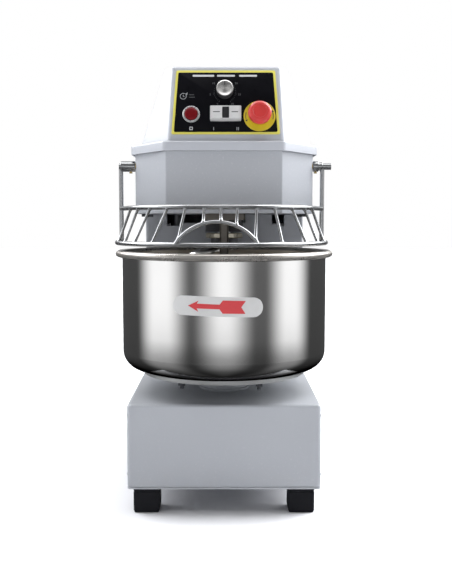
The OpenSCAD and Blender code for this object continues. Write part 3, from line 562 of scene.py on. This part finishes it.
knob_side_rings = [knob_ring(14.2, 5.0, 0), knob_ring(14.7, 5.6, 0.35), knob_ring(14.7, 17.6, 0.35)]
knob_face_rings = [knob_ring(r, z, 0) for r, z in ((14.2, 18.6), (13.4, 19.1), (12.9, 19.25), (12.4, 19.0),
                                                   (6, 18.75), (1.2, 18.6), (0.4, 18.6))]
knob = make("knob", *skin(knob_side_rings + knob_face_rings), knob_alu, "timer_dial", "knob_alu",
            ["timer_knob"], place=on_panel(KNOB), sharp=28)
side_faces = len(knob_side_rings) * KNOB_N
choose_faces(knob, [knob_side], lambda face: 1 if face.index < side_faces else 0)
make("knob_pointer", *slab(rounded(box(1.4, 7.1, 0, 9.05), 0.6, 3), 18.5, 19.15), ink_dark, "timer_dial",
     "black_plastic", place=on_panel(KNOB))

# switch centre strip and key marks
strip_rings = [[(x, y, z) for x, y in rounded(inset(box(11.4, 19.6), d), 0.8, 3)]
               for z, d in ((10.2, 0), (11.4, 0), (11.7, 0.3))]
make("switch_strip", *skin(strip_rings), black, "frame", "black_plastic", place=on_panel(SWITCH))
for x, key in ((-KEY_X, "low_key"), (KEY_X, "high_key")):
    make(f"key_mark_{key}", *slab(rounded(box(11.4, 1.4, x), 0.5, 3), 12.8, 13.1), ink_dark, key,
         "black_plastic", place=on_panel(SWITCH))


# ---------------------------------------------------------------- printed marks
def ink(name, shapes, mat, slot="panel_film", h=PANEL_T, at=(0, 0)):
    """Thin raised shapes on the panel, or on a surface h above it."""
    part = join(*[slab(shape, h - 0.1, h + 0.14) for shape in shapes])
    make(name, *part, mat, "frame", slot, place=on_panel(at), sharp=60)


def bar(x, y, w, h, turn=0.0, r=0.2):
    """Outline of a bar w wide and h high, turned about its middle (x, y)."""
    c, s = cos(turn), sin(turn)
    return [(x + px * c - py * s, y + px * s + py * c) for px, py in rounded(box(w, h), r, 2)]


def around(at, r, a):
    """The point r from at, in the direction a."""
    return at[0] + r * cos(a), at[1] + r * sin(a)


def arc(at, r, w, a0, a1, n):
    """Band w wide along a circle about at, from angle a0 to a1 in degrees."""
    turns = [radians(a0 + (a1 - a0) * k / n) for k in range(n + 1)]
    return [around(at, r + w / 2, a) for a in turns] + [around(at, r - w / 2, a) for a in turns[::-1]]


def digits(text, x, y, size):
    """Numbers for the dial, as closed outlines from the built-in font."""
    curve = bpy.data.curves.new("digits", "FONT")
    curve.body, curve.size, curve.align_x, curve.align_y = text, size, "CENTER", "CENTER"
    curve.extrude, curve.resolution_u = 0.12, 3
    ob = bpy.data.objects.new("digits", curve)
    bpy.context.scene.collection.objects.link(ob)
    me = bpy.data.meshes.new_from_object(ob.evaluated_get(bpy.context.evaluated_depsgraph_get()))
    points = [(v.co.x + x, v.co.y + y, v.co.z + PANEL_T) for v in me.vertices]
    faces = [tuple(p.vertices) for p in me.polygons]
    bpy.data.objects.remove(ob)
    return points, faces


dial = []
for degrees in range(-150, 151, 10):
    a = radians(degrees)
    r, length = (19.2, 2.6) if degrees % 50 == 0 else (18.6, 1.4)
    dial.append(bar(KNOB[0] + r * sin(a), KNOB[1] + r * cos(a), 0.5, length, -a))
ink("dial_ticks", dial, ink_faint)
dial_numbers = []
for k, degrees in enumerate(range(-150, 151, 50)):
    a = radians(degrees)
    if degrees:
        dial_numbers.append(digits(str(k * 5), KNOB[0] + 25.5 * sin(a), KNOB[1] + 25 * cos(a), 5.2))
make("dial_numbers", *join(*dial_numbers), ink_faint, "frame", "panel_film", place=on_panel((0, 0)), sharp=60)
zero = [(KNOB[0] - 1.6, KNOB[1] + 20.5), (KNOB[0] + 1.6, KNOB[1] + 20.5), (KNOB[0], KNOB[1] + 16.8)]
ink("dial_zero", [zero], ink_grey)

# a clock with its arrow, and two lines in place of its words
clock_ring = arc(CLOCK, 5.2, 1.0, 60, 390, n=40)
clock_arrow = [(CLOCK[0] + x, CLOCK[1] + y) for x, y in ((3.4, 4.8), (7.8, 7.0), (6.4, 1.6))]
clock_hands = [bar(CLOCK[0], CLOCK[1] + 1, 0.9, 3.6), bar(CLOCK[0] + 0.9, CLOCK[1] - 0.6, 2.6, 0.9)]
ink("clock_mark", [clock_ring, clock_arrow] + clock_hands, ink_grey)
clock_lines = [bar(CLOCK[0] + 14.5, CLOCK[1] + 2.6, 9, 0.9), bar(CLOCK[0] + 15, CLOCK[1] - 1.6, 10.5, 0.9)]
ink("clock_lines", clock_lines, ink_faint)

# three plain bars in place of a title, a square under the stop button, bars under the speed keys
ink("title_marks", [bar(x, 118.5, w, 3.4, r=1.2) for x, w in ((-35.5, 37), (3.5, 31), (41.5, 31))], ink_white)
square = [bar(STOP[0], 22.9 + m * 2.3, 5.6, 1.0) for m in (1, -1)]
square += [bar(STOP[0] + m * 2.3, 22.9, 1.0, 5.6) for m in (-1, 1)]
ink("stop_mark", square, ink_white)
ink("speed_marks", [bar(SWITCH[0] + x, 22.5, 1.3, 5.6) for x in (-20.5, 19.2, 22)], ink_grey)

# two turning arrows on the emergency stop's plate
twist = []
for start in (165, -15):
    end = radians(start + 32)
    twist.append(arc((0, 0), TWIST_R, 1.2, start, start + 30, n=12))
    twist.append([around((0, 0), TWIST_R + 2.4, end), around((0, 0), TWIST_R, end + 0.17),
                  around((0, 0), TWIST_R - 2.4, end)])
ink("twist_marks", twist, ink_dark, "yellow_plate", h=2.3, at=ESTOP)

# ---------------------------------------------------------------- bowl, turntable, arrow strip
CORNER_STEPS = 14
BOWL_N = 180


def bowl_corner(r):
    """The round lower corner, r from its centre, from the bottom to the wall."""
    turns = [pi / 2 * k / CORNER_STEPS for k in range(CORNER_STEPS + 1)]
    return [(BOWL_R - CORNER + r * sin(t), BOWL_Z + CORNER - r * cos(t)) for t in turns]


# support rings keep the shading true on the wall and close under the rim
outer = [(r, BOWL_Z) for r in (0, 60, 120)] + bowl_corner(CORNER)
outer += [(BOWL_R, z) for z in (290, 330, 370, 405, 417.6, 418.6)]
bead_turns = [radians(t) for t in range(215, 541, 15)]
bead = [(BOWL_R + 0.3, 419.4), (BOWL_R + 0.7, 420.2)]
bead += [(BOWL_R + BEAD_R + BEAD_R * cos(t), RIM_Z + BEAD_R * sin(t)) for t in bead_turns]
inner = [(BOWL_R - WALL, z) for z in (RIM_Z, 405, 370, 330, 290)] + bowl_corner(CORNER - WALL)[::-1]
inner += [(r, BOWL_Z + WALL) for r in (120, 60, 0)]
bowl = make("bowl_skin", *lathe(outer + bead + inner, (0, BOWL_Y, 0), n=BOWL_N), bowl_steel, "bowl_group",
            "bowl_steel", ["bowl"], sharp=50)
wall_faces = (len(outer) - 1) * BOWL_N
rim_faces = wall_faces + (len(bead) + 1) * BOWL_N
# outer wall, rim bead, and the inside in its darker steel, which is painted shade
choose_faces(bowl, [rim_steel, inner_steel],
             lambda face: 0 if face.index < wall_faces else 1 if face.index < rim_faces else 2)

table_profile = fillet([(0, 209.3, 0), (28, 209.3, 0.5), (28, TABLE_Z, 0.8), (TABLE_R, TABLE_Z, 1.5),
                        (TABLE_R, BOWL_Z, 0.8), (0, BOWL_Z, 0)], 4)
disc = make("turntable_disc", *lathe(table_profile, (0, BOWL_Y, 0), n=160), table_steel, "bowl_group",
            "plain_steel", ["turntable"])
# the turntable's top face, under the bowl, takes the black finish as painted shade, so the bowl's lower
# corner reflects dark there
choose_faces(disc, [black], lambda face: 1 if face.normal.z > 0.9 else 0)


def wrap(name, outline, lift, mat, slot="arrow_film", nodes=()):
    """Flat outline laid round the bowl's front, lift proud of the wall."""
    bm = bmesh.new()
    c, s = cos(-PLATE_TILT), sin(-PLATE_TILT)
    pts = [bm.verts.new((PLATE_X + x * c - z * s, 0, PLATE_Z + x * s + z * c)) for x, z in outline]
    bm.faces.new(pts)
    for x in range(-90, 70, 3):
        everything = bm.verts[:] + bm.edges[:] + bm.faces[:]
        bmesh.ops.bisect_plane(bm, geom=everything, plane_co=(x + 0.5, 0, 0), plane_no=(1, 0, 0))
    solid = bmesh.ops.extrude_face_region(bm, geom=bm.faces[:])
    top = {e for e in solid["geom"] if isinstance(e, bmesh.types.BMVert)}
    for v in bm.verts:
        r = BOWL_R + (lift if v in top else 0.0)
        a = v.co.x / BOWL_R
        v.co = (r * sin(a), BOWL_Y - r * cos(a), v.co.z)
    bm.verts.index_update()
    part = ([tuple(v.co) for v in bm.verts], [tuple(v.index for v in f.verts) for f in bm.faces])
    bm.free()
    make(name, *part, mat, "bowl_group", slot, nodes, sharp=50)


strip = rounded(box(PLATE_W, PLATE_H), PLATE_H / 2 - 0.1, 12)
wrap("arrow_strip", strip, 0.5, plate_film, nodes=["arrow_plate"])
arrow_upper = [(-30, 8.8), (-33, 3.9), (3.5, 3.6), (8.5, 10.4), (45, 10.2)]
arrow_lower = [(45, -10.4), (8.5, -10.6), (3.5, -3.9), (-33, -3.9), (-30, -9.2)]
arrow = [(-47.5, 0)] + arrow_upper + [(38, 0)] + arrow_lower
wrap("arrow_mark", arrow[::-1], 0.62, arrow_red, slot="red_cap")


# ---------------------------------------------------------------- hook
def hook_point(t):
    """Point on the spiral's middle line, from the collar (0) to the tip (1)."""
    lead = min(1, t / 0.16)
    tail = max(0, (t - 0.93) / 0.07)
    r = SPIRAL_R * sin(pi / 2 * lead) * (1 - 0.35 * tail)
    a = -2 * pi * SPIRAL_TURNS * t
    drop = t * 0.8 if t < 0.1 else 0.08 + (t - 0.1) * 0.92 / 0.9
    return r * sin(a), HOOK_Y - r * cos(a), SPIRAL_TOP - (SPIRAL_TOP - SPIRAL_LOW) * drop


spiral_steps = [i / SPIRAL_N for i in range(SPIRAL_N + 1)]
spiral_radii = [HOOK_ROD_R * min(1, 0.72 + 0.28 * (1 - t) / 0.06) for t in spiral_steps]
hook = tube([hook_point(t) for t in spiral_steps], spiral_radii, n=26, round_ends=True)
weld_ring = lathe([(11, 436), (15.5, 437.6), (17.5, 438.2), (11, 438.2)], (0, HOOK_Y, 0), n=40, loop=True)
make("hook_spiral", *join(hook, weld_ring), hook_steel, "hook_group", "tool_steel", ["spiral_hook"], sharp=55)

# hexagon collar above the hook, with bevelled corners, and the dark neck under it
hexagon = [(35 * cos(pi / 3 * k), 35 * sin(pi / 3 * k)) for k in range(6)]
collar = []
for z, d in ((450, 1.5), (451.5, 0), (458.5, 0), (460, 1.5)):
    collar.append([(x, y + HOOK_Y, z) for x, y in rounded(inset(hexagon, d), 1.2, 3)])
bore_turns = [2 * pi * k / 24 for k in range(24)]
bore = [[(15.1 * cos(t), HOOK_Y + 15.1 * sin(t), z) for t in bore_turns] for z in (460, 450)]
make("collar_nut", *skin(collar + bore, loop=True), collar_steel, "hook_group", "tool_steel",
     ["spindle_collar"])
neck_profile = fillet([(0, 438, 0), (25.5, 438, 1.5), (25.5, 450, 0.6), (0, 450, 0)])
make("collar_neck", *lathe(neck_profile, (0, HOOK_Y, 0), n=64), dark, "hook_group", "tool_steel",
     ["spindle_collar"])


# ---------------------------------------------------------------- guard
def at_guard(x, y, z):
    """A point given from the guard ring's middle."""
    return GUARD_AT[0] + x, GUARD_AT[1] + y, GUARD_AT[2] + z


def ring_point(r, a, z):
    """A point r from the middle, a degrees round from the front."""
    return at_guard(r * sin(radians(a)), -r * cos(radians(a)), z)


def wire(name, part, node, sharp=60):
    """A bright piece of the guard."""
    make(name, *part, chrome, "guard_group", "guard_steel", [node], sharp=sharp)


def sweep(reach, n):
    """n steps from -reach to reach."""
    return [-reach + 2 * reach * k / n for k in range(n + 1)]


ring_end = 90 + asin(ARM_Y / LOW_R) * 180 / pi
ring = [ring_point(LOW_R, a, 0) for a in sweep(ring_end, 140)]
wire("guard_lower_ring", tube(ring, ROD_R, n=24), "guard_ring")
rail = [at_guard(-ARM_X, ARM_Y, GUARD_RISE)]
rail += [ring_point(TOP_R, a, GUARD_RISE) for a in sweep(TOP_ARC, 110)]
rail += [at_guard(ARM_X, ARM_Y, GUARD_RISE)]
wire("guard_upper_rail", tube(rail, ROD_R - 0.05, n=24), "guard_rail")

arch_r = (ARCH_HALF * ARCH_HALF + ARCH_RISE * ARCH_RISE) / (2 * ARCH_RISE)
arch_y = -sqrt(LOW_R * LOW_R - ARCH_HALF * ARCH_HALF)
arch_low = ARCH_RISE - arch_r


def arch_z(x):
    """The arch's height at x."""
    return arch_low + sqrt(arch_r * arch_r - (x - ARCH_X) ** 2)


arch_end = atan2(ARCH_HALF, arch_r - ARCH_RISE)
arch = [at_guard(ARCH_X + arch_r * sin(a), arch_y, arch_low + arch_r * cos(a)) for a in sweep(arch_end, 60)]
wire("guard_feed_arch", tube(arch, 3.2, n=20), "guard_arch")


def rib(a, b, r=2.3, flare=3.3):
    """Straight rod whose ends swell into their welds."""
    a, b = Vector(a), Vector(b)
    length = (b - a).length
    stops = [0, 3.4, 4.6, 6.0, length / 2, length - 6.0, length - 4.6, length - 3.4, length]
    radii = [flare, flare, 2.75, r, r, r, 2.75, flare, flare]
    return tube([a + (b - a) * s / length for s in stops], radii, n=14)


# side ribs in pairs (angle at the rail, then left and right at the ring), then ribs that stand on the arch
ribs = []
for top, left, right in ((31.4, -37.2, 32.3), (44.5, -50.9, 49.3), (57.2, -61.5, 61.4), (69.5, -74.5, 73.5)):
    ribs.append(rib(ring_point(LOW_R, left, 0), ring_point(TOP_R, -top, GUARD_RISE)))
    ribs.append(rib(ring_point(LOW_R, right, 0), ring_point(TOP_R, top, GUARD_RISE)))
for top, x in ((0, 0), (-9.2, -28), (9.2, 24.5), (-20, -67.5), (20.2, 54.5)):
    ribs.append(rib(at_guard(x, arch_y, arch_z(x)), ring_point(TOP_R, top, GUARD_RISE)))
wire("guard_wires", join(*ribs), "guard_ribs")

# upright arms, and the collars that turn on the pivot pins: one on the left, two sizes on the right
arms = []
for m in (-1, 1):
    upright = [at_guard(m * ARM_X, ARM_Y, z) for z in (-4, -3.6, 20, 60, 100, 139)]
    arms.append(tube(upright, [3.4] + [ROD_R] * 5, n=24))
for x0, x1, r in ((GUARD_AT[0] - ARM_X, -BODY_HW - 0.8, 9.5), (BODY_HW + 0.8, BODY_HW + 10.5, 9.5),
                  (BODY_HW + 10.4, GUARD_AT[0] + ARM_X, 7.5)):
    sleeve = fillet([(PIN_R, x0, 0), (r, x0, 0.8), (r, x1, 0.8), (PIN_R, x1, 0)])
    arms.append(lathe(sleeve, (0, PIVOT_Y, PIVOT_Z), n=48, loop=True, axis="x"))
wire("guard_side_arms", join(*arms), "guard_arms", sharp=40)


# ---------------------------------------------------------------- small outside details
def louvre(x0, z):
    """One louvre, LOUVRE_W wide: a lip that slopes out and down, and runs out at its two ends."""
    rings = []
    for i in range(9):
        t = i / 8
        x = x0 + LOUVRE_W * t
        out = 3.6 * min(1, min(t, 1 - t) * 14) ** 0.5 if 0 < t < 1 else 0.05
        section = [(1.4, 6.6), (1.45 + out * 0.55, 5.6), (1.5 + out, 1.8), (1.4 + out, 1.0), (1.4, 5.2)]
        rings.append([(x, BODY_REAR + y, z + up) for y, up in section])
    return skin(rings)


louvres = [louvre(x0, LOUVRE_LOW + 18 * k) for x0 in (-107, 3) for k in range(9)]
make("rear_louvres", *join(*louvres), paint, "frame", "grey_paint", sharp=40)

# domed screw heads with a ring groove, along the base's sides
screw_profile = [(0, 2.2, 0), (1.0, 2.2, 0), (1.0, 1.4, 0), (1.7, 1.4, 0), (1.7, 2.1, 0), (3.0, 1.7, 0.6),
                 (3.6, 0.4, 0.3), (3.6, -0.2, 0), (0, -0.2, 0)]
screw_points, screw_faces = lathe(fillet(screw_profile), n=24)
side_screws = []
for m in (-1, 1):
    for y in (BASE_FRONT + 16, -80, 120, BODY_REAR - 16):
        for z in (62, 162):
            points = [(m * (BODY_HW + up), y + a, z + b) for a, b, up in screw_points]
            side_screws.append((points, screw_faces))
make("base_side_screws", *join(*side_screws), zinc, "frame", "zinc_steel", sharp=40)

# ---------------------------------------------------------------- studio
floor_me = bpy.data.meshes.new("floor")
floor_me.from_pydata([(x, y, FLOOR_Z) for x, y in ((-9, -5), (9, -5), (9, 12), (-9, 12))], [], [(0, 1, 2, 3)])
floor = bpy.data.objects.new("floor", floor_me)
bpy.context.scene.collection.objects.link(floor)
floor_me.materials.append(floor_finish)
floor.visible_glossy = False

world = bpy.data.worlds.new("studio")
bpy.context.scene.world = world
world.use_nodes = True
w = Nodes(world.node_tree)
direction = w.add("ShaderNodeSeparateXYZ", in_0=w.add("ShaderNodeTexCoord").outputs["Generated"]).outputs
forward = w.math("MULTIPLY", direction[1], -1.0)
azimuth = w.math("MULTIPLY", w.math("ARCTAN2", direction[0], forward), 180 / pi)
height = w.math("MULTIPLY", w.math("ARCSINE", direction[2]), 180 / pi)


def window(value, lo, hi, soft):
    """1 between lo and hi degrees, with soft ends."""
    rising = w.ramp(value, lo - soft, lo + soft)
    return w.math("MULTIPLY", rising, w.ramp(value, hi - soft, hi + soft, 1.0, 0.0))


def box_light(az, el, soft_az, soft_el, power):
    """Soft box that covers a span of azimuth and of height, in degrees."""
    part = w.math("MULTIPLY", window(azimuth, *az, soft_az), window(height, *el, soft_el))
    return w.math("MULTIPLY", part, power)


def front_light(az, soft, power):
    """Tall panel in front of the machine; its lower end fades out towards the floor."""
    part = w.math("MULTIPLY", window(azimuth, az[0], az[1], soft), power)
    low = w.math("ADD", w.ramp(height, -13, -6.5, 0.0, 0.78), w.ramp(height, -60, -10, 0.06, 0.22))
    return w.math("MULTIPLY", w.math("MULTIPLY", part, low), w.ramp(height, 12, 36, 1.0, 0.0))


turned_away = w.math("ABSOLUTE", azimuth)
lights = [
    front_light((-97, -51), 15, 1.18),
    front_light((59, 98), 14, 1.18),
    w.math("MULTIPLY", front_light((-18.5, 19.5), 17, 1.17), w.ramp(height, 2, 12, 1.0, 0.0)),
    box_light((-142, -92), (16, 66), 6, 8, 7.5),
    box_light((91, 142), (16, 66), 6, 8, 12.0),
    w.ramp(height, 55, 80, 0.0, 0.9),
    w.math("MULTIPLY", w.ramp(turned_away, 138, 155), w.ramp(height, 2, 14, 0.0, 0.55)),
    w.math("MULTIPLY", w.ramp(turned_away, 90, 112, 0.07, 0.0), w.ramp(height, -13, -6.5)),
]
total = w.ramp(height, -25, 5, 0.035, 0.085)
for part in lights:
    total = w.math("ADD", total, part)
seen = w.add("ShaderNodeLightPath").outputs["Is Camera Ray"]
room = w.add("ShaderNodeBackground", in_Color=(0.97, 0.98, 1.0, 1), in_Strength=total)
back = w.add("ShaderNodeBackground", in_Color=(1, 1, 1, 1), in_Strength=1.0)
blend = w.add("ShaderNodeMixShader", in_0=seen, in_1=room.outputs[0], in_2=back.outputs[0])
w.feed(w.add("ShaderNodeOutputWorld").inputs[0], blend.outputs[0])
world.cycles.sampling_method = "MANUAL"
world.cycles.sample_map_resolution = 512

lamp = bpy.data.lights.new("top_softbox", "AREA")
lamp.shape = "RECTANGLE"
lamp.size, lamp.size_y = 1.6, 1.4
lamp.energy = 11
lamp_ob = bpy.data.objects.new("top_softbox", lamp)
lamp_ob.location = (0, -0.5, 2.3)
lamp_ob.rotation_euler = (radians(8), 0, 0)
bpy.context.scene.collection.objects.link(lamp_ob)

camera = bpy.data.cameras.new("camera")
camera.lens = 50.055
camera.sensor_width = 36
camera_ob = bpy.data.objects.new("camera", camera)
camera_ob.location = (0.0035, -1.603, 0.4832)
camera_ob.rotation_euler = (radians(90 - 5.04), 0, 0)
bpy.context.scene.collection.objects.link(camera_ob)
bpy.context.scene.camera = camera_ob
bpy.context.scene.view_settings.view_transform = "Standard"
